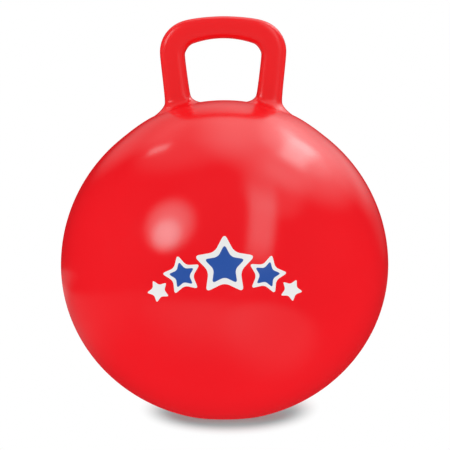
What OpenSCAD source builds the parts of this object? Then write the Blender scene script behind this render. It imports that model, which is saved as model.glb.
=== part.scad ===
// Hopper ball: an inflated vinyl ball with a hollow D-handle on its crown and an air valve in its back.
// Millimetres, +Z up. The origin is the middle of the flat patch that the ball stands on.
// The handle's plane is XZ, the front of the ball faces -Y, and the valve looks along +Y.

/* [Ball] */
// Width of the inflated ball across its middle
ball_w = 457; // [380:1:560]
// Height of the ball's crown above its widest girth
crown_h = 226.5; // [190:0.5:280]
// Depth of the ball below its widest girth, before its own weight presses it flat underneath
base_h = 217; // [185:0.5:275]
// Depth of the patch that the ball's own weight presses flat
floor_press = 5; // [2:0.1:8]
// Thickness of the ball's vinyl skin
skin_t = 1.6; // [1.2:0.1:3]
// Height by which the handle's root draws the crown up
crown_swell = 2.8; // [0:0.1:5]
// Radius of the drawn-up middle of the crown
swell_r = 95; // [85:1:105]
// Width over which that swell runs out on the ball
swell_fade = 50; // [30:1:70]

/* [Handle] */
// Distance between the middles of the two legs where they stand on the ball
foot_span = 124.5; // [110:0.5:150]
// Outward lean of each leg, in degrees
leg_lean = 7; // [0:0.5:12]
// Height of the grip's middle above the ball's crown
grip_rise = 101.8; // [90:0.1:130]
// Radius of the grip's gentle arch, at its middle
arch_r = 185; // [150:5:400]
// Radius of the bend between a leg and the grip, at its middle
corner_r = 32; // [24:0.5:40]
// Width of a leg seen from the front
leg_w = 34; // [28:0.5:40]
// Width of the handle across the middle of a bend
corner_w = 37; // [28:0.5:42]
// Thickness of the grip at its middle, seen from the front
grip_w = 30.2; // [24:0.2:38]
// Depth of the handle from front to back
handle_d = 33; // [26:0.5:42]
// Height up a leg at which its fillet on to the ball begins
fillet_rise = 14; // [10:0.5:22]
// Reach of that fillet over the ball on the outer side of a leg
fillet_out = 24; // [10:0.5:32]
// Reach of that fillet on the side of the hand hole
fillet_in = 18; // [8:0.5:20]
// Reach of that fillet in front of a leg and behind it
fillet_side = 18; // [8:0.5:24]
// Thickness of the foot's rim, where the fillet runs out on the ball
foot_rim_t = 0.6; // [0.4:0.1:2]
// Thickness of the handle's wall
handle_t = 3; // [2:0.1:5]

/* [Valve] */
// Bore that the plug's stem goes into
valve_bore_d = 8.6; // [7:0.1:11]
// Outer diameter of the sleeve that reaches into the ball
sleeve_d = 15; // [13:0.5:18]
// Length of the sleeve, from the skin's outside
sleeve_len = 26; // [22:0.5:34]
// Diameter of the valve seat's neck, which fills the hole in the skin
neck_d = 22; // [21:0.5:26]
// Diameter of the flange that is welded to the inside of the skin
flange_d = 38; // [32:1:46]
// Thickness of that flange at its rim
flange_t = 1.8; // [1.2:0.1:3]
// Depth of the recess that holds the plug's head
recess_depth = 3; // [2.5:0.1:4]
// Clearance round the plug's head in its recess
recess_gap = 0.8; // [0.4:0.1:1.2]

/* [Plug] */
// Diameter of the plug's head
head_d = 16; // [14:0.5:18]
// Thickness of the plug's head
head_t = 2.4; // [1.8:0.1:2.4]
// Length of the plug's stem under its head
stem_len = 19; // [16:0.5:22]
// Diameter of the stem between its sealing ribs
stem_d = 7.4; // [6:0.1:8]
// Radial clearance of the sealing ribs in the bore
rib_gap = 0.05; // [0.03:0.01:0.1]
// Number of sealing ribs on the stem
rib_count = 3; // [2:1:4]
// Length of one sealing rib along the stem
rib_len = 1.6; // [1.2:0.1:2]
// Length of the stem's tapered tip
tip_len = 4; // [3:0.5:6]
// Diameter of the small end of the tip
tip_d = 5; // [4:0.5:6]
// Diameter of the dimple moulded in the head
dimple_d = 8; // [6:0.5:10]
// Depth of that dimple
dimple_depth = 0.8; // [0.4:0.1:1.2]

/* [Hidden] */
$fn = 128;

vinyl_red = "#ee1b24";
plug_white = "#f4f4f0";

// Exponent that makes the handle's section a square with well rounded corners
section_power = 3.4;
// Facets round the ball
ball_facets = 360;
// Points round the handle's section
section_points = 32;
// Rings along a foot's fillet, along a bend, and along half of the grip
fillet_rings = 6;
bend_rings = 9;
arch_rings = 6;
// Extra depth by which cuts run past what they cut
overrun = 5;
// Fraction of the stem over which the ribs are spread
rib_zone_share = 0.55;
// Depth, as a share of its thickness, to which the head's rim is rounded
head_round_share = 0.35;

ball_r = ball_w / 2;
girth_z = base_h - floor_press;
crown_z = girth_z + crown_h + crown_swell;
air_r = ball_r - skin_t;
// How far a handle's leg and its hollow run down into the ball before they are cut by its skin
leg_root = skin_t + overrun;
recess_d = head_d + 2 * recess_gap;
rib_d = valve_bore_d - 2 * rib_gap;
// Depth of the flange's flat back below the ball's back: the skin, the curve across the flange, and its rim
flange_sink = skin_t + flange_t + air_r - sqrt(air_r * air_r - pow(flange_d / 2, 2));

// Lift of the crown at a distance from the ball's upright axis: full in the middle, with a soft run-out
function swell(r) =
    let (t = max(0, min(1, (swell_r + swell_fade - r) / swell_fade)))
        crown_swell * t * t * (3 - 2 * t);

// Height of the ball's outside above the floor, over a point of the plan
function skin_z(x, y) =
    girth_z + crown_h * sqrt(1 - (x * x + y * y) / (ball_r * ball_r)) + swell(norm([x, y]));

// Handle's middle line, right half: a leaning leg, a bend and half of the arch
foot = [foot_span / 2, 0, skin_z(foot_span / 2, 0)];
leg_up = [sin(leg_lean), 0, cos(leg_lean)];
leg_out = [cos(leg_lean), 0, -sin(leg_lean)];
arch_centre = [0, 0, crown_z + grip_rise - arch_r];
bend_start = foot - corner_r * leg_out - arch_centre;
bend_climb = -bend_start * leg_up
    + sqrt(pow(bend_start * leg_up, 2) - bend_start * bend_start + pow(arch_r - corner_r, 2));
bend_centre = foot - corner_r * leg_out + bend_climb * leg_up;
bend_top_angle = atan2(bend_centre.z - arch_centre.z, bend_centre.x - arch_centre.x);

function spoke(angle) = [cos(angle), 0, sin(angle)];
function signed_pow(v, p) = sign(v) * pow(abs(v), p);

// One ring of the handle's section: "out" points away from the hand hole
function section(middle, out, w, d) = [
    for (i = [0 : section_points - 1])
        let (a = 360 * i / section_points)
            middle + w / 2 * signed_pow(cos(a), 2 / section_power) * out
                + [0, d / 2 * signed_pow(sin(a), 2 / section_power), 0]
];

// Ring of a leg that follows the ball's skin at a height above it, widened by a share of the fillet's reach
function foot_ring(height, spread_share, inset) = [
    for (p = section(
            foot + height * leg_up + [spread_share * (fillet_out - fillet_in) / 2, 0, 0], [1, 0, 0],
            leg_w + spread_share * (fillet_out + fillet_in) - 2 * inset,
            handle_d + 2 * spread_share * fillet_side - 2 * inset))
        [p.x, p.y, skin_z(p.x, p.y) + height]
];

// Share of the fillet's reach that is left at a height above the skin, on a quarter of an ellipse
function fillet_share(height) = 1 - sqrt(1 - pow(1 - height / fillet_rise, 2));

// Heights of the fillet's rings: close together at the rim, wider towards the leg
function fillet_height(i) =
    foot_rim_t + (fillet_rise - foot_rim_t) * (1 - cos(90 * i / fillet_rings));

function bend_angle(i) = -leg_lean + (bend_top_angle + leg_lean) * i / bend_rings;
function bend_width(i) = leg_w + (corner_w - leg_w) * sin(180 * i / bend_rings);
function arch_angle(i) = bend_top_angle + (90 - bend_top_angle) * i / arch_rings;
function arch_width(i) = leg_w + (grip_w - leg_w) * sin(90 * i / arch_rings);

// Rings of the right half of the handle's outside, from inside the ball up to the middle of the grip
function outside_rings() = concat(
    [foot_ring(-leg_root, fillet_share(foot_rim_t), 0)],
    [for (i = [0 : fillet_rings]) foot_ring(fillet_height(i), fillet_share(fillet_height(i)), 0)],
    upper_rings(0)
);

// Rings of the right half of the handle's hollow, which opens into the ball
function hollow_rings() = concat(
    [for (height = [-leg_root - overrun, fillet_rise]) foot_ring(height, 0, handle_t)],
    upper_rings(handle_t)
);

// Rings of the bend and half of the arch
function upper_rings(inset) = concat(
    [for (i = [0 : bend_rings])
        section(bend_centre + corner_r * spoke(bend_angle(i)), spoke(bend_angle(i)),
            bend_width(i) - 2 * inset, handle_d - 2 * inset)],
    [for (i = [1 : arch_rings])
        section(arch_centre + arch_r * spoke(arch_angle(i)), spoke(arch_angle(i)),
            arch_width(i) - 2 * inset, handle_d - 2 * inset)]
);

function mirrored(ring) = [for (p = ring) [-p.x, p.y, p.z]];

// Both halves of the handle in one run, from the right foot over the grip to the left foot
function whole_run(half) = concat(half, [for (i = [len(half) - 2 : -1 : 0]) mirrored(half[i])]);

// Closed skin over a run of rings
module loft(rings) {
    n = section_points;
    last = len(rings) - 1;
    sides = [
        for (k = [0 : last - 1], i = [0 : n - 1])
            let (a = k * n + i, b = k * n + (i + 1) % n)
                each [[a, a + n, b], [b, a + n, b + n]]
    ];
    first_cap = [for (i = [1 : n - 2]) [0, i, i + 1]];
    last_cap = [for (i = [1 : n - 2]) [last * n, last * n + i + 1, last * n + i]];
    polyhedron(points = [for (r = rings) each r], faces = concat(sides, first_cap, last_cap));
}

// Half of the ball's upright section, a given depth inside its outer surface: full above its girth and
// drawn up at the crown, flatter below it, and cut off at the floor
module ball_section(inset) {
    r = ball_r - inset;
    quarter = ball_facets / 4;
    intersection() {
        polygon([
            for (i = [-quarter : quarter])
                let (x = r * cos(90 * i / quarter), rise = sin(90 * i / quarter))
                    [x, i < 0 ? (base_h - inset) * rise : (crown_h - inset) * rise + swell(x)]
        ]);
        translate([0, inset - girth_z])
            square([r, crown_z - inset]);
    }
}

// Turns a section about the ball's upright axis
module turned() {
    translate([0, 0, girth_z])
        rotate_extrude($fn = ball_facets)
            children();
}

module ball_outside() turned() ball_section(0);
module ball_inside() turned() ball_section(skin_t);

// Opening in the skin under one leg, through which air fills the handle
module air_passage() {
    loft([for (height = [-leg_root - overrun, overrun]) foot_ring(height, 0, handle_t)]);
}

// Stands a shape that is drawn along +Z on the valve's axis, with z = 0 at the ball's back
module at_valve() {
    translate([0, ball_r, girth_z])
        rotate([-90, 0, 0])
            children();
}

module ball_skin() color(vinyl_red) {
    difference() {
        turned()
            difference() {
                ball_section(0);
                ball_section(skin_t);
            }
        air_passage();
        mirror([1, 0, 0]) air_passage();
        at_valve()
            translate([0, 0, -sleeve_len])
                cylinder(d = neck_d, h = sleeve_len + overrun);
    }
}

module handle() color(vinyl_red) {
    difference() {
        loft(whole_run(outside_rings()));
        loft(whole_run(hollow_rings()));
        ball_outside();
    }
}

// Soft bush in the hole of the skin: a flange under the skin, a neck flush with it and a sleeve inside
module valve_seat() color(vinyl_red) {
    difference() {
        union() {
            intersection() {
                ball_inside();
                at_valve()
                    translate([0, 0, -flange_sink])
                        cylinder(d = flange_d, h = flange_sink + overrun);
            }
            intersection() {
                ball_outside();
                at_valve()
                    translate([0, 0, -flange_sink])
                        cylinder(d = neck_d, h = flange_sink + overrun);
            }
            at_valve()
                translate([0, 0, -sleeve_len])
                    cylinder(d = sleeve_d, h = sleeve_len - skin_t);
        }
        at_valve() {
            translate([0, 0, -recess_depth])
                cylinder(d = recess_d, h = recess_depth + overrun);
            translate([0, 0, -sleeve_len - overrun])
                cylinder(d = valve_bore_d, h = sleeve_len + overrun);
        }
    }
}

// Stopper that is pulled to let air in: a dished head on a ribbed, tapered stem
module valve_plug() color(plug_white) {
    head_round = head_t * head_round_share;
    rib_step = stem_len * rib_zone_share / rib_count;
    at_valve()
        translate([0, 0, -recess_depth])
            difference() {
                union() {
                    cylinder(d = head_d, h = head_t - head_round);
                    translate([0, 0, head_t - head_round])
                        cylinder(d1 = head_d, d2 = head_d - 2 * head_round, h = head_round);
                    translate([0, 0, -stem_len + tip_len])
                        cylinder(d = stem_d, h = stem_len - tip_len);
                    translate([0, 0, -stem_len])
                        cylinder(d1 = tip_d, d2 = stem_d, h = tip_len);
                    for (i = [1 : rib_count])
                        translate([0, 0, -i * rib_step])
                            cylinder(d = rib_d, h = rib_len);
                }
                translate([0, 0, head_t - dimple_depth])
                    cylinder(d = dimple_d, h = dimple_depth + overrun);
            }
}

ball_skin();
handle();
valve_seat();
valve_plug();
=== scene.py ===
# %% [markdown]
# # A hopper ball, modelled and lit in Blender
# A hopper ball is an inflated ball of soft, shiny vinyl with a D-shaped handle cast on its crown.
# This lesson takes the measured frame of the part, models the shiny skin over it as one unbroken mesh,
# adds the air valve and a printed design, and then makes the vinyl, the inks and the studio light.
# All lengths are in metres, and every piece stays in the frame's own place.

import math

import bmesh
import bpy
import numpy as np
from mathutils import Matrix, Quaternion, Vector


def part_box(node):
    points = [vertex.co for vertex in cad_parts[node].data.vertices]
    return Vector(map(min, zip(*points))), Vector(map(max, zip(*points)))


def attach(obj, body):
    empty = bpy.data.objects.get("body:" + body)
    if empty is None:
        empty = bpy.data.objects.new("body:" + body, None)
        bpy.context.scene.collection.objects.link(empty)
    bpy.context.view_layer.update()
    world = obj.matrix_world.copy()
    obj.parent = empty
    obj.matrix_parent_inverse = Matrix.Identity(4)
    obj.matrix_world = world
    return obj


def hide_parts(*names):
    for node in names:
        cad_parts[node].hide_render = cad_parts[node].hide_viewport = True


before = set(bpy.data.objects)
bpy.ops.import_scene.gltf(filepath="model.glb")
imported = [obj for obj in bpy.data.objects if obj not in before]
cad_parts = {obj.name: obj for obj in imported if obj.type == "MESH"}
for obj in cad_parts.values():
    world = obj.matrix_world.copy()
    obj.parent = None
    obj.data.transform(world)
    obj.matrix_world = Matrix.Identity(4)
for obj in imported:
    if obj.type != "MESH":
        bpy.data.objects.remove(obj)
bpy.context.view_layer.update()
print("frame nodes:", sorted(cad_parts))

# %% [markdown]
# ## Sizes
# The frame's own boxes give the ball's girth, its crown and the valve's axis. The handle's sizes repeat
# the part's own, because a box can't tell the width of a leg or the lean of it.

# %% Read the sizes from the frame
skin_low, skin_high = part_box("ball_skin")
handle_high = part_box("handle")[1]
plug_low, plug_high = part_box("valve_plug")
seat_low, seat_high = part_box("valve_seat")

ball_r = (skin_high.x - skin_low.x) / 2
girth_z = (plug_low.z + plug_high.z) / 2
crown_swell = 0.0028
swell_r = 0.095
swell_fade = 0.05
crown_h = skin_high.z - girth_z - crown_swell
floor_press = 0.005
base_h = girth_z + floor_press
ball_middle = Vector((0, 0, girth_z))

foot_span = 0.1245
leg_lean = math.radians(7)
leg_w = 0.034
corner_w = 0.037
grip_w = 0.0302
handle_depth = 0.033
corner_r = 0.032
arch_r = 0.185
fillet_rise = 0.014
fillet_out = 0.024
fillet_in = 0.018
fillet_side = 0.018
grip_z = handle_high.z - grip_w / 2
print(f"ball {2 * ball_r:.4f} m wide, crown at {skin_high.z:.4f} m, grip at {grip_z:.4f} m")

# %% [markdown]
# ## Camera
# The photograph was taken from about three metres with a long lens, a little above the ball's middle.
# Its frame is square, so the lens follows from how many pixels a metre takes at that distance. The ball's
# middle lies well below the middle of the picture, so the camera is aimed above it and not shifted.

# %% Set up the camera
picture_px = 450
px_per_m = 714.5
ball_middle_px = Vector((224.6, 264.4))
camera_distance = 3.0
camera_elevation = math.radians(3)
camera_roll = math.radians(-0.4)
sensor_mm = 36

towards_camera = Vector((0, -math.cos(camera_elevation), math.sin(camera_elevation)))
picture_right = Vector((1, 0, 0))
picture_up = towards_camera.cross(picture_right)
for side in (picture_right, picture_up):
    side.rotate(Quaternion(towards_camera, camera_roll))
off_px = ball_middle_px - Vector((picture_px, picture_px)) / 2
aim = ball_middle - (off_px.x * picture_right - off_px.y * picture_up) / px_per_m

camera_data = bpy.data.cameras.new("photo_camera")
camera_data.sensor_width = sensor_mm
camera_data.lens = sensor_mm * camera_distance * px_per_m / picture_px
camera = bpy.data.objects.new("photo_camera", camera_data)
bpy.context.scene.collection.objects.link(camera)
camera.location = ball_middle + camera_distance * towards_camera
camera.rotation_mode = "QUATERNION"
look = (aim - camera.location).normalized()
camera.rotation_quaternion = Quaternion(look, -camera_roll) @ look.to_track_quat("-Z", "Y")
bpy.context.scene.camera = camera
print(f"lens {camera_data.lens:.1f} mm, aimed at {tuple(round(c, 4) for c in aim)}")

# %% [markdown]
# ## The ball
# A ball with poles like a globe's would pinch its reflections at the crown, just where the handle stands.
# A cube that is subdivided and blown up to a sphere has no such poles, and its even squares give clean
# patches from which the two legs and the valve's pocket are drawn.


# %% Blow a cube up to a ball
def deselect_all():
    bpy.ops.object.select_all(action="DESELECT")


def edit(obj):
    deselect_all()
    obj.select_set(True)
    bpy.context.view_layer.objects.active = obj
    bpy.ops.object.mode_set(mode="EDIT")


def leave_edit():
    bpy.ops.object.mode_set(mode="OBJECT")


def read_points(mesh):
    points = np.empty(3 * len(mesh.vertices))
    mesh.vertices.foreach_get("co", points)
    return points.reshape(-1, 3)


def write_points(mesh, points):
    mesh.vertices.foreach_set("co", points.ravel())
    mesh.update()


def smooth_step(value, start, end):
    share = np.clip((value - start) / (end - start), 0, 1)
    return share * share * (3 - 2 * share)


def swell(x, y):
    """How far the handle's root draws the crown up over a point of the plan."""
    return crown_swell * smooth_step(np.hypot(x, y), swell_r + swell_fade, swell_r)


def true_to_ball(points):
    """The same points, moved straight out from the ball's middle to its true surface."""
    arm = points - np.array(ball_middle)
    above = arm[:, 2] > 0
    arm[:, 2] -= above * swell(arm[:, 0], arm[:, 1])
    height = np.where(above, crown_h, base_h)
    arm /= np.sqrt((arm[:, 0] ** 2 + arm[:, 1] ** 2) / ball_r ** 2 + (arm[:, 2] / height) ** 2)[:, None]
    arm[:, 2] += above * swell(arm[:, 0], arm[:, 1])
    return np.array(ball_middle) + arm


cube_cuts = 11
deselect_all()
bpy.ops.mesh.primitive_cube_add(size=2 * ball_r, location=ball_middle)
skin = bpy.context.object
skin.name = "vinyl_skin"
bpy.ops.object.transform_apply(location=True, rotation=False, scale=False)
edit(skin)
bpy.ops.mesh.subdivide(number_cuts=cube_cuts)
bpy.ops.transform.tosphere(value=1)
leave_edit()
write_points(skin.data, true_to_ball(read_points(skin.data)))
print(f"ball cage: {len(skin.data.polygons)} faces")

# %% [markdown]
# ## The handle
# The handle is hollow and is cast in one with the ball, so its legs flow out of the skin in soft fillets.
# By hand, the patch of four faces under each leg is extruded ring by ring: over the fillet, up the leaning
# leg, round the bend and along the grip's arch. The two ends are then bridged in the middle of the grip.
# Nine points to a ring are enough: subdivision rounds its rim to a square with soft corners.

# %% Shape the rings
# Shares of half the width at which a ring's corners and its side middles stand, so that
# subdivision brings them to the handle's own rounded square
corner_share = 0.97
middle_share = 1.015


def cage_share(column, row):
    return corner_share if column and row else middle_share


def skin_z(x, y):
    """Height of the ball's outside over a point of the plan."""
    return girth_z + crown_h * math.sqrt(1 - (x * x + y * y) / ball_r ** 2) + swell(x, y)


def foot_ring(height, share):
    """Ring that follows the ball at a height above it, widened by a share of the fillet's reach."""
    middle_x = foot_span / 2 + height * math.sin(leg_lean) + share * (fillet_out - fillet_in) / 2
    half_w = leg_w / 2 + share * (fillet_out + fillet_in) / 2
    half_d = handle_depth / 2 + share * fillet_side

    def place(column, row):
        x = middle_x + column * half_w * cage_share(column, row)
        y = row * half_d * cage_share(column, row)
        return Vector((x, y, skin_z(x, y) + height))
    return Vector((1, 0, 0)), place


def spoke(angle):
    return Vector((math.cos(angle), 0, math.sin(angle)))


def bar_ring(middle, radius, angle, width):
    """Flat ring across the bar of the handle, at an angle of an arc."""
    out = spoke(angle)

    def place(column, row):
        share = cage_share(column, row)
        reach = radius + column * share * width / 2
        return middle + reach * out + Vector((0, row * share * handle_depth / 2, 0))
    return out, place


print(f"ring corners at {corner_share} and side middles at {middle_share} of half the width")

# %% [markdown]
# The middle line of the right half of the handle is a leaning leg, a tight bend and half of a wide arch.
# The bend touches both, so its middle is found where the two meet.


# %% Lay out the rings of one leg
def fillet_share(height):
    return 1 - math.sqrt(1 - (1 - height / fillet_rise) ** 2)


foot = Vector((foot_span / 2, 0, skin_z(foot_span / 2, 0)))
leg_up = Vector((math.sin(leg_lean), 0, math.cos(leg_lean)))
arch_middle = Vector((0, 0, grip_z - arch_r))
inner_foot = foot - corner_r * spoke(-leg_lean)
reach = inner_foot - arch_middle
along_leg = reach.dot(leg_up)
climb = math.sqrt(along_leg ** 2 - reach.length_squared + (arch_r - corner_r) ** 2) - along_leg
bend_middle = inner_foot + climb * leg_up
bend_top = math.atan2(bend_middle.z - arch_middle.z, bend_middle.x)

rim_share = 0.85
fillet_heights = (0.0012, 0.004, 0.009)
bend_steps = 6
arch_steps = 4

rings = [foot_ring(0, rim_share)]
rings += [foot_ring(height, fillet_share(height)) for height in fillet_heights]
rings += [foot_ring(fillet_rise, 0)]
for i in range(bend_steps + 1):
    angle = -leg_lean + (bend_top + leg_lean) * i / bend_steps
    width = leg_w + (corner_w - leg_w) * math.sin(math.pi * i / bend_steps)
    rings.append(bar_ring(bend_middle, corner_r, angle, width))
for i in range(1, arch_steps):
    angle = bend_top + (math.pi / 2 - bend_top) * i / arch_steps
    width = leg_w + (grip_w - leg_w) * math.sin(math.pi / 2 * i / arch_steps)
    rings.append(bar_ring(arch_middle, arch_r, angle, width))
print(f"{len(rings)} rings to half of the handle, bend about {tuple(round(c, 4) for c in bend_middle)}")

# %% [markdown]
# Both legs are drawn at once. Their two patches stay selected, each extrusion starts a new ring on both, and
# the ring's points are then moved to their places, mirrored for the left leg. The ring in the middle of the
# grip comes last, from bridging the two open ends with one cut.

# %% Draw both legs out of the crown and bridge the grip
patch_in, patch_out, patch_side = 0.037, 0.103, 0.04
steps = (-1, 0, 1)


def pick_faces(obj, test):
    """Selects, in edit mode, the faces whose middle passes a test, and counts them."""
    bpy.ops.mesh.select_mode(type="FACE")
    bpy.ops.mesh.select_all(action="DESELECT")
    bm = bmesh.from_edit_mesh(obj.data)
    for face in bm.faces:
        face.select_set(test(face.calc_center_median()))
    bmesh.update_edit_mesh(obj.data)
    return sum(face.select for face in bm.faces)


def place_patch(obj, belongs, column_of, row_of, place):
    """Moves the nine picked points of a patch of four faces to the places that a rule gives them."""
    bm = bmesh.from_edit_mesh(obj.data)
    points = sorted((v for v in bm.verts if v.select and belongs(v.co)), key=lambda v: row_of(v.co))
    for i, row in enumerate(steps):
        line = sorted(points[3 * i:3 * i + 3], key=lambda v: column_of(v.co))
        for column, point in zip(steps, line):
            point.co = place(column, row)
    bmesh.update_edit_mesh(obj.data)


def set_leg_ends(ring):
    out, place = ring
    for side in (1, -1):
        place_patch(
            skin,
            belongs=lambda co: co.x * side > 0,
            column_of=lambda co: side * co.x * out.x + co.z * out.z,
            row_of=lambda co: co.y,
            place=lambda column, row: place(column, row) * Vector((side, 1, 1)),
        )


def under_leg(c):
    return patch_in < abs(c.x) < patch_out and abs(c.y) < patch_side and c.z > girth_z


edit(skin)
feet = pick_faces(skin, under_leg)
set_leg_ends(rings[0])
for ring in rings[1:]:
    bpy.ops.mesh.extrude_region_move()
    set_leg_ends(ring)
bpy.ops.mesh.bridge_edge_loops(number_cuts=1)
leave_edit()
print(f"legs drawn from {feet} faces; the cage has {len(skin.data.polygons)} faces")

# %% [markdown]
# ## The valve's pocket
# The ball is blown up through a small valve in its back, where a rider never sits. The skin has a round
# hole there, and the valve's seat shows in it. A boolean would cut the hole, but it leaves a ragged ring of
# faces. So the patch of four faces at the ball's back is extruded in the same way as the legs, but inwards:
# to a ring round the hole, over its rim, and out again into a closed pocket that is roomy enough for the
# seat's flange.

# %% Sink the pocket into the ball's back
neck_r = 0.011
hole_gap = 0.00015
rim_round = 0.0006
skin_t = 0.0016
pocket_room = 0.0008
pocket_end_room = 0.002
flange_r = (seat_high.x - seat_low.x) / 2
pocket_r = flange_r + pocket_room
pocket_depth = ball_r - seat_low.y + pocket_end_room
hole_r = neck_r + hole_gap
# What subdivision leaves of the radius of a ring of eight points
ring_shrink = (2 + math.cos(math.pi / 4)) / 3


def back_y(x, z):
    """Place of the ball's outside behind a point of its upright section."""
    height = crown_h if z > girth_z else base_h
    return ball_r * math.sqrt(1 - (x / ball_r) ** 2 - ((z - girth_z) / height) ** 2)


def pocket_ring(radius, depth):
    def place(column, row):
        r = radius / ring_shrink if column or row else 0
        turn = math.atan2(row, column)
        x, z = r * math.cos(turn), girth_z + r * math.sin(turn)
        return Vector((x, back_y(x, z) - depth, z))
    return place


def round_valve(c):
    return c.y > 0 and abs(c.x) < patch_in and abs(c.z - girth_z) < patch_in


# Radius and depth of each ring: two that hold the skin flat, the rim, the hole and the pocket
pocket = [
    (2 * hole_r, 0),
    (hole_r + 4 * rim_round, 0),
    (hole_r + rim_round, 0),
    (hole_r, rim_round),
    (hole_r, skin_t),
    (pocket_r, skin_t),
    (pocket_r, 2 * skin_t),
    (pocket_r, pocket_depth),
]
edit(skin)
back_faces = pick_faces(skin, round_valve)
for radius, depth in pocket:
    bpy.ops.mesh.extrude_region_move()
    place_patch(
        skin,
        belongs=lambda co: True,
        column_of=lambda co: co.x,
        row_of=lambda co: co.z,
        place=pocket_ring(radius, depth),
    )
leave_edit()
print(f"pocket drawn from {back_faces} faces, {2000 * hole_r:.1f} mm across its mouth")

# %% [markdown]
# ## A smooth skin
# Subdivision rounds the cage, but it also draws a round form in a little. So the cage's points that lie on
# the ball are kept in a vertex group, subdivision spreads the group's weight softly into the fillets, and
# that weight then brings the ball back to its true surface without touching the handle. Where the ball rests
# on the floor it is pressed flat, with a soft edge.


# %% Subdivide, true the ball up and press it on the floor
def apply_modifiers(obj):
    bpy.context.view_layer.objects.active = obj
    for modifier in list(obj.modifiers):
        bpy.ops.object.modifier_apply(modifier=modifier.name)


touch = 1e-5
cage = read_points(skin.data)
on_ball = np.linalg.norm(cage - true_to_ball(cage), axis=1) < touch
group = skin.vertex_groups.new(name="ball")
group.add([int(i) for i in np.flatnonzero(on_ball)], 1, "REPLACE")

rounding_levels = 3
rounding = skin.modifiers.new("rounding", "SUBSURF")
rounding.levels = rounding_levels
rounding.render_levels = rounding_levels
apply_modifiers(skin)

weight = np.zeros(len(skin.data.vertices))
for vertex in skin.data.vertices:
    for membership in vertex.groups:
        weight[vertex.index] = membership.weight
skin.vertex_groups.clear()

# Weights at which a point starts to follow the ball and at which it lies on it
loose_weight, true_weight = 0.1, 0.8
press_soft = 0.0008
points = read_points(skin.data)
points += smooth_step(weight, loose_weight, true_weight)[:, None] * (true_to_ball(points) - points)
z = points[:, 2].copy()
points[:, 2] = np.where(z > press_soft, z, np.maximum(z + press_soft, 0) ** 2 / (4 * press_soft))
write_points(skin.data, points)
print(f"skin: {len(skin.data.polygons)} faces, lowest point {points[:, 2].min():.5f} m")

# %% [markdown]
# ## The mould's parting line
# Such a ball is cast in a mould of two halves. They part in the plane of the handle, because only then does
# the hand hole come free, and they leave a fine raised line all round the ball and the handle. A bump in the
# material would fade at the outline, so the line is real: the edges in that plane are bevelled to a narrow
# strip, and the line in the middle of the strip is raised.

# %% Raise the parting line
seam_w = 0.0014
seam_h = 0.00022
seam_low = 0.006


def pick_edges(obj, test):
    """Selects, in edit mode, the edges whose two ends pass a test, and counts them."""
    bpy.ops.mesh.select_mode(type="EDGE")
    bpy.ops.mesh.select_all(action="DESELECT")
    bm = bmesh.from_edit_mesh(obj.data)
    for edge in bm.edges:
        edge.select_set(all(test(v.co) for v in edge.verts))
    bmesh.update_edit_mesh(obj.data)
    return sum(edge.select for edge in bm.edges)


def in_parting_plane(co):
    return abs(co.y) < touch and co.z > seam_low


edit(skin)
seam_edges = pick_edges(skin, in_parting_plane)
bpy.ops.mesh.bevel(offset=seam_w / 2, segments=2, affect="EDGES", clamp_overlap=True)
pick_edges(skin, in_parting_plane)
bpy.ops.transform.shrink_fatten(value=seam_h)
bpy.ops.mesh.select_all(action="SELECT")
bpy.ops.mesh.normals_make_consistent(inside=False)
leave_edit()
bpy.ops.object.shade_smooth()
skin.data.update()
print(f"parting line: {seam_edges} edges; skin {len(skin.data.polygons)} faces")

# %% [markdown]
# ## The valve's seat and its plug
# The seat is a soft bush with a flange under the skin, a neck that lies flush in the hole and a long sleeve
# inside. The white plug is pressed into it: a dished head on a stem with three ribs that grip the sleeve.
# Both are turned forms, so a circle is extruded from ring to ring along the piece's profile, and a bevel
# then breaks the hard edges that a moulded piece never has.

# %% A turned piece from a circle and a profile
back_pole = Vector((0, ball_r, girth_z))
turned_sides = 64
edge_segments = 3
smooth_angle = math.radians(40)


def start_circle(name, profile, fill):
    deselect_all()
    radius, height = profile[0]
    bpy.ops.mesh.primitive_circle_add(
        vertices=turned_sides, radius=radius, location=(0, 0, height), fill_type=fill)
    piece = bpy.context.object
    piece.name = name
    bpy.ops.object.transform_apply(location=True, rotation=False, scale=False)
    return piece


def turned_piece(name, profile, fill, edge_round):
    """Extrudes a circle along a profile of radii and heights, and lays it on the valve's axis."""
    piece = start_circle(name, profile, fill)
    edit(piece)
    bpy.ops.mesh.select_all(action="SELECT")
    for (old_r, old_z), (new_r, new_z) in zip(profile, profile[1:]):
        bpy.ops.mesh.extrude_region_move(TRANSFORM_OT_translate={"value": (0, 0, new_z - old_z)})
        bpy.ops.transform.resize(value=(new_r / old_r, new_r / old_r, 1), center_override=(0, 0, new_z))
    bpy.ops.mesh.select_all(action="SELECT")
    bpy.ops.mesh.remove_doubles(threshold=touch)
    bpy.ops.mesh.normals_make_consistent(inside=False)
    leave_edit()
    rounding = piece.modifiers.new("edge_round", "BEVEL")
    rounding.width = edge_round
    rounding.segments = edge_segments
    apply_modifiers(piece)
    piece.rotation_euler = (-math.pi / 2, 0, 0)
    piece.location = back_pole
    bpy.ops.object.transform_apply(location=True, rotation=True, scale=False)
    bpy.ops.object.shade_smooth_by_angle(angle=smooth_angle)
    print(f"{name}: {len(piece.data.polygons)} faces")
    return piece


print(f"turned pieces have {turned_sides} sides, on an axis through {tuple(round(c, 4) for c in back_pole)}")

# %% Turn the seat
bore_r = 0.0043
sleeve_r = 0.0075
recess_r = 0.0088
recess_depth = 0.003
flange_t = 0.0018
sleeve_end = seat_low.y - ball_r


def dip(radius):
    """How far the ball's back falls away at a distance from the valve's axis."""
    return math.sqrt(ball_r ** 2 - radius ** 2) - ball_r


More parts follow.
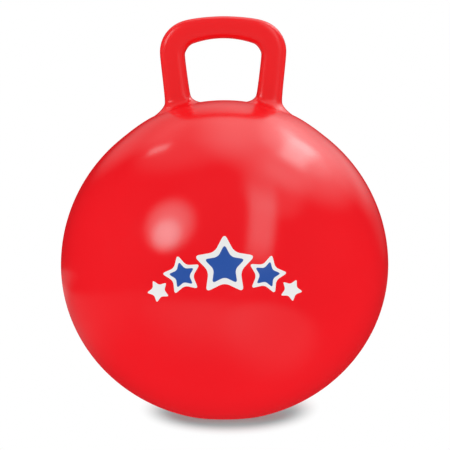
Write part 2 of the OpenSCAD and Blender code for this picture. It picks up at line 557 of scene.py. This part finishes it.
flange_top = dip(flange_r) - skin_t - hole_gap
seat_profile = [
    (bore_r, sleeve_end),
    (bore_r, -recess_depth),
    (recess_r, -recess_depth),
    (recess_r, dip(recess_r)),
    (neck_r, dip(neck_r)),
    (neck_r, dip(neck_r) - skin_t - 2 * hole_gap),
    (flange_r, flange_top - hole_gap),
    (flange_r, flange_top - flange_t),
    (sleeve_r, flange_top - flange_t),
    (sleeve_r, sleeve_end),
    (bore_r, sleeve_end),
]
seat = turned_piece("valve_bush", seat_profile, "NOTHING", edge_round=0.0003)

# %% [markdown]
# The plug's profile starts at the tapered tip, goes up the stem from rib to rib, and ends in the dimple of
# the head. Each rib slopes on the side that goes in first, so that the plug slides in and holds.

# %% Turn the plug
head_r = (plug_high.x - plug_low.x) / 2
head_top = plug_high.y - ball_r
head_t = recess_depth + head_top
stem_r = 0.0037
tip_r = 0.0025
tip_len = 0.004
rib_gap = 0.00005
rib_r = bore_r - rib_gap
rib_len = 0.0016
rib_count = 3
rib_zone = 0.55
stem_end = plug_low.y - ball_r
stem_len = -recess_depth - stem_end
dimple_r = 0.004
dimple_depth = 0.0008
head_round_share = 0.35
head_round = head_round_share * head_t

plug_profile = [(tip_r, stem_end), (stem_r, stem_end + tip_len)]
for i in range(rib_count, 0, -1):
    rib_start = -recess_depth - i * stem_len * rib_zone / rib_count
    plug_profile += [
        (stem_r, rib_start),
        (rib_r, rib_start + rib_len / 2),
        (rib_r, rib_start + rib_len),
        (stem_r, rib_start + rib_len),
    ]
plug_profile += [
    (stem_r, -recess_depth),
    (head_r, -recess_depth),
    (head_r, head_top - head_round),
    (head_r - head_round, head_top),
    (dimple_r, head_top),
    (dimple_r - dimple_depth, head_top - dimple_depth),
]
plug = turned_piece("valve_stopper", plug_profile, "NGON", edge_round=0.00025)

# %% [markdown]
# ## The print
# Play balls carry a print in one or two inks on their front. Here it is a row of five-pointed stars that
# rises and falls like a bounce, in white with blue hearts. It could be painted in the material, but ink lies
# on the vinyl as a film a tenth of a millimetre thick. So each star is cut from a disc, laid on the ball's
# true surface and given a thickness that reaches a little into the skin.

# %% A star of ink on the ball
ink_t = 0.0001
film_t = 0.00015
film_cuts = 7
star_points = 5
star_waist = 0.52
star_round = 0.16
star_segments = 4
print_rise = 0.004


def lay_on_ball(points, lift):
    """Lays points of an upright plane on the ball's front, a little proud of it."""
    x, z = points[:, 0], points[:, 2] - girth_z
    height = np.where(z > 0, crown_h, base_h)
    y = -ball_r * np.sqrt(1 - (x / ball_r) ** 2 - (z / height) ** 2)
    normal = np.stack((x / ball_r ** 2, y / ball_r ** 2, z / height ** 2), axis=1)
    normal /= np.linalg.norm(normal, axis=1)[:, None]
    return np.stack((x, y, points[:, 2]), axis=1) + lift * normal


def star(name, x, rise, radius, tilt, lift):
    deselect_all()
    bpy.ops.mesh.primitive_circle_add(vertices=2 * star_points, radius=radius, fill_type="NGON")
    piece = bpy.context.object
    piece.name = name
    edit(piece)
    bpy.ops.mesh.select_mode(type="VERT")
    bpy.ops.mesh.select_all(action="DESELECT")
    bm = bmesh.from_edit_mesh(piece.data)
    for v in bm.verts:
        v.select_set(v.index % 2 == 1)
    bmesh.update_edit_mesh(piece.data)
    bpy.ops.transform.resize(value=(star_waist, star_waist, 1), center_override=(0, 0, 0))
    bpy.ops.mesh.select_all(action="SELECT")
    bpy.ops.mesh.bevel(affect="VERTICES", offset=star_round * radius, segments=star_segments)
    bpy.ops.mesh.select_all(action="SELECT")
    bpy.ops.mesh.poke()
    bpy.ops.mesh.subdivide(number_cuts=film_cuts)
    leave_edit()
    piece.rotation_euler = (math.pi / 2, math.radians(tilt), 0)
    piece.location = (x, 0, girth_z + print_rise + rise)
    bpy.ops.object.transform_apply(location=True, rotation=True, scale=False)
    write_points(piece.data, lay_on_ball(read_points(piece.data), lift))
    film = piece.modifiers.new("film", "SOLIDIFY")
    film.thickness = film_t
    film.offset = -1
    apply_modifiers(piece)
    return piece


print(f"stars are cut from {film_t * 1000:.2f} mm of ink")


# %% Lay out the bounce of stars
def join(name, pieces):
    deselect_all()
    for piece in pieces:
        piece.select_set(True)
    bpy.context.view_layer.objects.active = pieces[0]
    bpy.ops.object.join()
    pieces[0].name = name
    bpy.ops.object.shade_smooth_by_angle(angle=smooth_angle)
    print(f"{name}: {len(pieces[0].data.polygons)} faces")
    return pieces[0]


heart_share = 0.66
heart_least_r = 0.02
# Places across and up, radii, and lean of the stars, from the middle of the bounce to its end
bounce = ((0, 0.006, 0.042, 0), (0.055, -0.006, 0.027, 14), (0.0865, -0.027, 0.0155, 28))
whites, blues = [], []
for x, rise, radius, lean in bounce:
    for side in (1, -1) if x else (1,):
        whites.append(star("white_star", side * x, rise, radius, side * lean, ink_t))
        if radius > heart_least_r:
            heart_r = heart_share * radius
            blues.append(star("blue_star", side * x, rise, heart_r, side * lean, 2 * ink_t))
white_print = join("print_white", whites)
blue_print = join("print_blue", blues)

# %% [markdown]
# ## A moulded finish that all materials share
# Vinyl from a mould is never a perfect mirror or one flat colour. It has a fine orange peel, long soft waves
# where the skin stretches unevenly, faint clouds in its colour and, here and there, a patch rubbed duller by
# hands and by the floor. Each material could have its own nodes for that. One node group that makes these
# four, on the piece's own coordinates, is shorter, and each material weighs them.


# %% Start the node group
def add_node(tree, kind, inputs=(), **settings):
    """Adds a node, sets its properties, and sets or links its inputs."""
    made = tree.nodes.new(kind)
    for name, value in settings.items():
        setattr(made, name, value)
    for name, value in dict(inputs).items():
        if isinstance(value, bpy.types.NodeSocket):
            tree.links.new(value, made.inputs[name])
        else:
            made.inputs[name].default_value = value
    return made


finish_inputs = {
    "Cloud Scale": 9,
    "Wave Scale": 14,
    "Peel Scale": 420,
    "Wave Height": 0.0001,
    "Peel Height": 0.00001,
}
finish = bpy.data.node_groups.new("moulded_finish", "ShaderNodeTree")
for name, value in finish_inputs.items():
    socket = finish.interface.new_socket(name, in_out="INPUT", socket_type="NodeSocketFloat")
    socket.default_value = value
for name in ("Cloud", "Rub", "Height"):
    finish.interface.new_socket(name, in_out="OUTPUT", socket_type="NodeSocketFloat")
print("moulded_finish takes", list(finish_inputs))

# %% [markdown]
# Clouds, waves and peel are three noises of different fineness. A rub is where a fine scuff and a cloud fall
# together, so that the dull spots come in patches. Waves and peel add up to one height for the bump.

# %% Fill the node group
scuff_scale = 55
scuff_start, scuff_full = 0.52, 0.74
patch_start, patch_full = 0.45, 0.7
given = add_node(finish, "NodeGroupInput").outputs
place = add_node(finish, "ShaderNodeTexCoord").outputs["Object"]


def calc(tree, operation, *values):
    """Result of a Math node."""
    return add_node(tree, "ShaderNodeMath", dict(enumerate(values)), operation=operation).outputs["Value"]


def remap(tree, value, start, end, low=0, high=1, curve="LINEAR"):
    """Takes a value from one range to another, and holds it at both ends."""
    return add_node(tree, "ShaderNodeMapRange", {
        "Value": value,
        "From Min": start,
        "From Max": end,
        "To Min": low,
        "To Max": high,
    }, interpolation_type=curve).outputs["Result"]


def noise(scale, detail, roughness=0.5):
    """Soft noise on the piece's own coordinates."""
    return add_node(finish, "ShaderNodeTexNoise", {
        "Vector": place,
        "Scale": scale,
        "Detail": detail,
        "Roughness": roughness,
    }).outputs["Fac"]


cloud = noise(given["Cloud Scale"], detail=3)
wave = noise(given["Wave Scale"], detail=1)
peel = noise(given["Peel Scale"], detail=2)
scuff = noise(scuff_scale, detail=6, roughness=0.7)
scuffed = remap(finish, scuff, scuff_start, scuff_full)
in_patch = remap(finish, cloud, patch_start, patch_full)
rub = calc(finish, "MULTIPLY", scuffed, in_patch)
wave_height = calc(finish, "MULTIPLY", wave, given["Wave Height"])
height = calc(finish, "MULTIPLY_ADD", peel, given["Peel Height"], wave_height)
add_node(finish, "NodeGroupOutput", {"Cloud": cloud, "Rub": rub, "Height": height})
print(f"moulded_finish: {len(finish.nodes)} nodes")

# %% [markdown]
# ## Vinyl, inks and plug
# The vinyl is a deep, saturated red with a smooth shine. A white shine would brighten the red as well as pale
# it, so the shine is tinted, and a highlight only pales the red, as on the real ball. The inks are the same
# kind of film in white and blue under a thin gloss, which the shader's coat gives. The plug is a harder,
# satin plastic. All four share one function, because only their tones and their gloss differ.

# %% Make the four materials
coat_roughness = 0.12
ink_coat = 0.3


def moulded_material(name, dark, light, gloss, rubbed, finish_values, coat=0, shine=(1, 1, 1)):
    """Material that mixes two tones by the clouds and goes from gloss to a duller rub."""
    material = bpy.data.materials.new(name)
    material.use_nodes = True
    tree = material.node_tree
    tree.nodes.clear()
    surface = add_node(tree, "ShaderNodeGroup", node_tree=finish)
    for socket, value in finish_values.items():
        surface.inputs[socket].default_value = value
    tone = add_node(tree, "ShaderNodeMix", {
        "Factor": surface.outputs["Cloud"],
        "A": (*dark, 1),
        "B": (*light, 1),
    }, data_type="RGBA")
    bump = add_node(tree, "ShaderNodeBump", {
        "Height": surface.outputs["Height"],
        "Distance": 1,
        "Strength": 1,
    })
    shader = add_node(tree, "ShaderNodeBsdfPrincipled", {
        "Base Color": tone.outputs["Result"],
        "Roughness": remap(tree, surface.outputs["Rub"], 0, 1, gloss, rubbed),
        "Normal": bump.outputs["Normal"],
        "Specular Tint": (*shine, 1),
        "Coat Weight": coat,
        "Coat Roughness": coat_roughness,
    })
    add_node(tree, "ShaderNodeOutputMaterial", {"Surface": shader.outputs["BSDF"]})
    print(f"{name}: {len(tree.nodes)} nodes")
    return material


vinyl_finish = {"Wave Height": 0.00012, "Peel Height": 0.00001}
ink_finish = {"Wave Height": 0.00012, "Peel Height": 0.000014}
plug_finish = {"Cloud Scale": 120, "Wave Height": 0, "Peel Height": 0.000012}
red_vinyl = moulded_material(
    "red_vinyl_gloss", dark=(0.85, 0.0055, 0.0115), light=(0.92, 0.0065, 0.0135),
    gloss=0.13, rubbed=0.2, finish_values=vinyl_finish, shine=(0.05, 1, 1))
white_ink = moulded_material(
    "white_ink", dark=(0.84, 0.84, 0.83), light=(0.9, 0.9, 0.9),
    gloss=0.3, rubbed=0.42, finish_values=ink_finish, coat=ink_coat)
blue_ink = moulded_material(
    "blue_ink", dark=(0.012, 0.075, 0.36), light=(0.016, 0.09, 0.42),
    gloss=0.3, rubbed=0.42, finish_values=ink_finish, coat=ink_coat)
plug_white = moulded_material(
    "white_plug_satin", dark=(0.8, 0.8, 0.78), light=(0.9, 0.9, 0.88),
    gloss=0.38, rubbed=0.55, finish_values=plug_finish)

# %% [markdown]
# Hands rub the handle and knees rub the crown round it, so the vinyl there is a little duller than on the
# rest of the ball. Its colour there is also set to a slightly brighter red, which is painted light: it makes
# up for the weaker soft light from above. A painted mask could say where, but the height above the floor does
# it without one, with a soft start below the crown. Soft vinyl also glows a little at its edges, where light
# comes through it: a thin sheen in its own red does that.

# %% Dull the handle, paint light on it and add the edge glow
# A slightly brighter red on the handle and round the crown: painted light, for the weaker soft light from
# above
grip_painted_light_tone = (0.92, 0.0065, 0.01, 1)
grip_roughness = 0.24
# Distances below the crown at which the rub and the painted light start and at which they are full
rub_and_light_start, rub_and_light_full = 0.065, 0.015
edge_glow = {"Sheen Weight": 0.9, "Sheen Roughness": 0.25, "Sheen Tint": (0.95, 0.012, 0.02, 1)}

vinyl_tree = red_vinyl.node_tree
shader = next(node for node in vinyl_tree.nodes if node.type == "BSDF_PRINCIPLED")
for socket, value in edge_glow.items():
    shader.inputs[socket].default_value = value
place = add_node(vinyl_tree, "ShaderNodeTexCoord").outputs["Object"]
height = add_node(vinyl_tree, "ShaderNodeSeparateXYZ", {0: place}).outputs["Z"]
rub_and_painted_light_share = remap(vinyl_tree, height, skin_high.z - rub_and_light_start, skin_high.z - rub_and_light_full)
for socket, kind, worn in (("Base Color", "RGBA", grip_painted_light_tone), ("Roughness", "FLOAT", grip_roughness)):
    mix = add_node(vinyl_tree, "ShaderNodeMix", {
        "Factor": rub_and_painted_light_share,
        "A": shader.inputs[socket].links[0].from_socket,
        "B": worn,
    }, data_type=kind)
    vinyl_tree.links.new(mix.outputs["Result"], shader.inputs[socket])
print(f"the vinyl is duller from {skin_high.z - rub_and_light_start:.3f} m up; {len(vinyl_tree.nodes)} nodes")

# %% [markdown]
# The skin and the seat are the same vinyl. Each print is one ink, and the plug is its own plastic, so every
# piece takes one material and no faces have to be picked for a second one.

# %% Give each piece its material
pieces_in = {
    red_vinyl: (skin, seat),
    white_ink: (white_print,),
    blue_ink: (blue_print,),
    plug_white: (plug,),
}
for material, pieces in pieces_in.items():
    for piece in pieces:
        piece.data.materials.clear()
        piece.data.materials.append(material)
    print(material.name, "on", [piece.name for piece in pieces])

# %% [markdown]
# ## The studio
# A shiny ball shows the whole studio. The photograph's ball mirrors a bright ceiling behind it, a round lamp
# at the left, a tall softbox at the right, two lamps high behind it and the dim walls of the room, while the
# camera's side is dark. Lamp objects would do, but their edges are hard and each lights the floor too. So all
# of them are painted on the world, as soft round glows and three strips, each where its highlight on the ball
# says it is.


# %% Place the lamps
def way_to(azimuth, elevation):
    """Direction from the ball. Azimuth 0 is the camera's side, and 90 is the right."""
    a, e = math.radians(azimuth), math.radians(elevation)
    return Vector((math.sin(a) * math.cos(e), -math.cos(a) * math.cos(e), math.sin(e)))


dark_room = 0.01
# Azimuth and elevation of each glow, the angles of its even core and of its outer edge, and its radiance
glows = {
    "ceiling": (122, 60, 16, 42, 1.4),
    "ceiling_rim": (-135, 71, 10, 32, 0.52),
    "high_lamp_haze": (124, 52, 6, 20, 1.1),
    "window": (86, 56, 6, 18, 0.5),
    "softbox_haze": (52, 51, 8, 24, 0.65),
    "round_lamp": (-42.5, 28.5, 2, 21, 3.3),
    "round_lamp_heart": (-43, 22, 1, 13, 4.7),
    "left_wall": (-162, 39, 10, 27, 0.36),
    "back_wall": (160, 30, 8, 27, 0.4),
    "right_wall": (144, 32, 7, 25, 0.42),
    "backdrop": (150, 16, 4, 22, 0.12),
    "camera_side": (0, 40, 15, 45, 0.07),
}
# Two ends of each strip, half of the angle across its even core and across its soft edge, the angle over
# which it fades out past its ends, and its radiance
strips = {
    "softbox": (way_to(27, 23), way_to(32, 38), 5, 12, 32, 2.3),
    "high_lamp": (way_to(111, 55), way_to(136, 46), 3, 9, 10, 2.9),
    "small_lamp": (way_to(-125, 53), way_to(-125, 58), 1, 4.5, 4.5, 2.3),
}
print(f"glows: {sorted(glows)}, strips: {sorted(strips)}")

# %% [markdown]
# The world's shader knows a direction, so a lamp is a mask on directions. A glow is the cap of the sky within
# an angle of the lamp, with a soft edge. A strip is where two bands of the sky cross, one along the strip and
# one that ends it, on the lamp's side of the sky.

# %% Paint the lamps on the world
world = bpy.data.worlds.new("studio")
bpy.context.scene.world = world
world.use_nodes = True
sky = world.node_tree
sky.nodes.clear()
way = add_node(sky, "ShaderNodeTexCoord").outputs["Generated"]


def part_along(axis):
    """How far a direction of the sky points along an axis: the cosine of the angle between them."""
    return add_node(sky, "ShaderNodeVectorMath", {0: way, 1: axis}, operation="DOT_PRODUCT").outputs["Value"]


def add_glow(azimuth, elevation, core, edge, radiance, behind):
    """Adds a soft round glow of the sky to what lies behind it."""
    start, full = math.cos(math.radians(edge)), math.cos(math.radians(core))
    near = part_along(way_to(azimuth, elevation))
    return calc(sky, "ADD", behind, remap(sky, near, start, full, 0, radiance, "SMOOTHSTEP"))


def within(axis, core, edge):
    """Mask of the band of the sky that lies within an angle of the plane across an axis."""
    start, full = math.sin(math.radians(edge)), math.sin(math.radians(core))
    return remap(sky, calc(sky, "ABSOLUTE", part_along(axis)), start, full, curve="SMOOTHSTEP")


def add_strip(low, high, core, edge, fade, radiance, behind):
    """Adds a soft-edged strip of the sky between two directions to what lies behind it."""
    half_len = math.degrees(low.angle(high)) / 2
    side_mask = within(low.cross(high).normalized(), core, edge)
    end_mask = within((high - low).normalized(), half_len, half_len + fade)
    strip = calc(sky, "MULTIPLY", side_mask, end_mask)
    near_side = calc(sky, "GREATER_THAN", part_along(low + high), 0)
    lit = calc(sky, "MULTIPLY", near_side, radiance)
    return calc(sky, "MULTIPLY_ADD", strip, lit, behind)


lamps = dark_room
for glow in glows.values():
    lamps = add_glow(*glow, lamps)
for strip in strips.values():
    lamps = add_strip(*strip, lamps)
print(f"the lamps take {len(sky.nodes)} nodes")

# %% [markdown]
# The dull part of the vinyl gathers light from all round. Lamps as strong as their highlights would burn that
# part out, so rays for soft light see a sky without lamps instead. It is stronger from the sides than from
# the front and the back, and weaker from above, so that the ball's front and back gather about one, a plain
# level at which a colour comes out about as it is written. The camera itself sees plain white behind the
# ball.

# %% Add the soft light and the white background
soft_sides = 1.45
soft_drop = -0.7
soft_above = -0.32
white_level = 1
ray = add_node(sky, "ShaderNodeLightPath").outputs
axes = add_node(sky, "ShaderNodeSeparateXYZ", {0: way}).outputs
depth_squared = calc(sky, "MULTIPLY", axes["Y"], axes["Y"])
around = calc(sky, "MULTIPLY_ADD", depth_squared, soft_drop, soft_sides)
above = calc(sky, "MAXIMUM", axes["Z"], 0)
soft_sky = calc(sky, "MULTIPLY_ADD", above, soft_above, around)
for_object = add_node(sky, "ShaderNodeMix", {"Factor": ray["Is Glossy Ray"], "A": soft_sky, "B": lamps})
strength = add_node(sky, "ShaderNodeMix", {
    "Factor": ray["Is Camera Ray"],
    "A": for_object.outputs["Result"],
    "B": white_level,
})
light = add_node(sky, "ShaderNodeBackground", {
    "Color": (1, 1, 1, 1),
    "Strength": strength.outputs["Result"],
})
add_node(sky, "ShaderNodeOutputWorld", {"Surface": light.outputs["Background"]})
# Soft light and reflections see different skies, so light comes only along rays that a surface sends out
world.cycles.sampling_method = "NONE"
bpy.context.scene.view_settings.view_transform = "Standard"
print(f"soft light: {soft_sides} from the sides, {soft_sides + soft_drop:.2f} from the front and the back")

# %% [markdown]
# ## The floor
# The floor is white card. Round the ball it takes the ball's soft shadow, which is partly real shade on the
# card and partly painted: inside an oval that reaches further back than forward the card is a lit grey, and
# at the oval's edge it fades to the same white as the background, so the oval paints the shadow's shape and
# edge. Plain card would take a red cast from the ball, but the photograph's shadow is grey, so the card is
# painted with less red close to the ball.

# %% Lay the floor
floor_size = 14
deselect_all()
bpy.ops.mesh.primitive_plane_add(size=floor_size, location=(0, 0, 0))
floor = bpy.context.object
floor.name = "floor"

card = bpy.data.materials.new("white_card")
card.use_nodes = True
card.cycles.emission_sampling = "NONE"
floor.data.materials.append(card)
card_tree = card.node_tree
card_tree.nodes.clear()
place = add_node(card_tree, "ShaderNodeTexCoord").outputs["Object"]
print(f"floor: {floor_size} m of white card")


# %% Paint the card and its shadow
def outside_oval(middle, reach, core):
    """Mask that grows from 0 in an oval's core to 1 at its edge."""
    arm = add_node(card_tree, "ShaderNodeVectorMath", {0: place, 1: middle}, operation="SUBTRACT")
    share = add_node(
        card_tree, "ShaderNodeVectorMath", {0: arm.outputs["Vector"], 1: reach}, operation="DIVIDE")
    distance = add_node(
        card_tree, "ShaderNodeVectorMath", {0: share.outputs["Vector"]}, operation="LENGTH")
    return remap(card_tree, distance.outputs["Value"], core, 1, curve="SMOOTHSTEP")


# The oval of painted shadow: its middle, its reach, the share of it that stays fully grey, and the faint glow
# that lifts the grey card inside it
shadow_middle = (0.006, 0.13, 0)
shadow_reach = (0.134, 0.36, 1)
shadow_core = 0.66
shadow_glow = 0.18
card_grey = 0.75
# Share of red in the card, at distances from the middle of the patch that the ball stands on: painted lower
# close to the ball, where it takes out the red light that the ball throws on the card
card_red = {0.1: 0.2, 0.19: 0.6, 0.33: card_grey}

from_ball = add_node(card_tree, "ShaderNodeVectorMath", {0: place}, operation="LENGTH")
tint = add_node(card_tree, "ShaderNodeValToRGB", {"Fac": from_ball.outputs["Value"]})
stops = tint.color_ramp.elements
stops.remove(stops[-1])
for distance, red in card_red.items():
    stops.new(distance).color = (red, card_grey, card_grey, 1)
stops.remove(stops[0])

paper = add_node(card_tree, "ShaderNodeBsdfDiffuse", {"Color": tint.outputs["Color"]})
glow = add_node(card_tree, "ShaderNodeEmission", {"Strength": shadow_glow})
near_card = add_node(card_tree, "ShaderNodeAddShader", {
    0: paper.outputs["BSDF"],
    1: glow.outputs["Emission"],
})
far_card = add_node(card_tree, "ShaderNodeEmission", {"Strength": white_level})
seen_card = add_node(card_tree, "ShaderNodeMixShader", {
    0: outside_oval(shadow_middle, shadow_reach, shadow_core),
    1: near_card.outputs["Shader"],
    2: far_card.outputs["Emission"],
})
print(f"shadow: {2 * shadow_reach[0]:.2f} m wide and {2 * shadow_reach[1]:.2f} m deep")

# %% [markdown]
# In reflections the floor is dark, as the floor of a dim studio is, but for soft pools of light in front of
# the ball, at its left and far behind it, which show low on the ball. For soft light it is as bright as white
# card is, and a little brighter beside the ball.

# %% Light the card for reflections and for soft light
dim_floor = 0.02
# Middle of each pool of light, its reach along each axis, the share of that which its even core takes, and
# its radiance
pools = {
    "front": ((-0.1, -0.45, 0), (0.46, 0.28, 1), 0.15, 0.4),
    "front_right": ((0.17, -0.36, 0), (0.22, 0.27, 1), 0.5, 0.34),
    "left": ((-0.6, 1.2, 0), (0.45, 2.7, 1), 0.5, 0.13),
    "back": ((-0.9, 2.2, 0), (2.2, 1.6, 1), 0.4, 0.16),
}
soft_floor, soft_floor_far = 1.15, 1
soft_floor_reach = 0.6

pooled = dim_floor
for middle, reach, core, radiance in pools.values():
    lit = remap(card_tree, outside_oval(middle, reach, core), 0, 1, radiance, 0)
    pooled = calc(card_tree, "ADD", pooled, lit)
axes = add_node(card_tree, "ShaderNodeSeparateXYZ", {0: place}).outputs
soft_card = remap(
    card_tree, calc(card_tree, "ABSOLUTE", axes["Y"]), 0, soft_floor_reach, soft_floor, soft_floor_far)
ray = add_node(card_tree, "ShaderNodeLightPath").outputs
for_object = add_node(
    card_tree, "ShaderNodeMix", {"Factor": ray["Is Glossy Ray"], "A": soft_card, "B": pooled})
lit_card = add_node(card_tree, "ShaderNodeEmission", {"Strength": for_object.outputs["Result"]})
surface = add_node(card_tree, "ShaderNodeMixShader", {
    0: ray["Is Camera Ray"],
    1: lit_card.outputs["Emission"],
    2: seen_card.outputs["Shader"],
})
add_node(card_tree, "ShaderNodeOutputMaterial", {"Surface": surface.outputs["Shader"]})
print(f"pools of light: {sorted(pools)}; the card has {len(card_tree.nodes)} nodes")

# %% [markdown]
# ## Back to the frame
# Every piece rides on the body that carries it: the plug on its own, which slides out of its seat, and all
# else on the ball. The modelled skin, seat and plug stand for the frame's solids, so those are replaced.

# %% Ride, replace and finish
for piece in (skin, seat, white_print, blue_print):
    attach(piece, "ball")
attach(plug, "plug")
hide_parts("ball_skin", "handle")
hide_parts("valve_seat")
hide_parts("valve_plug")
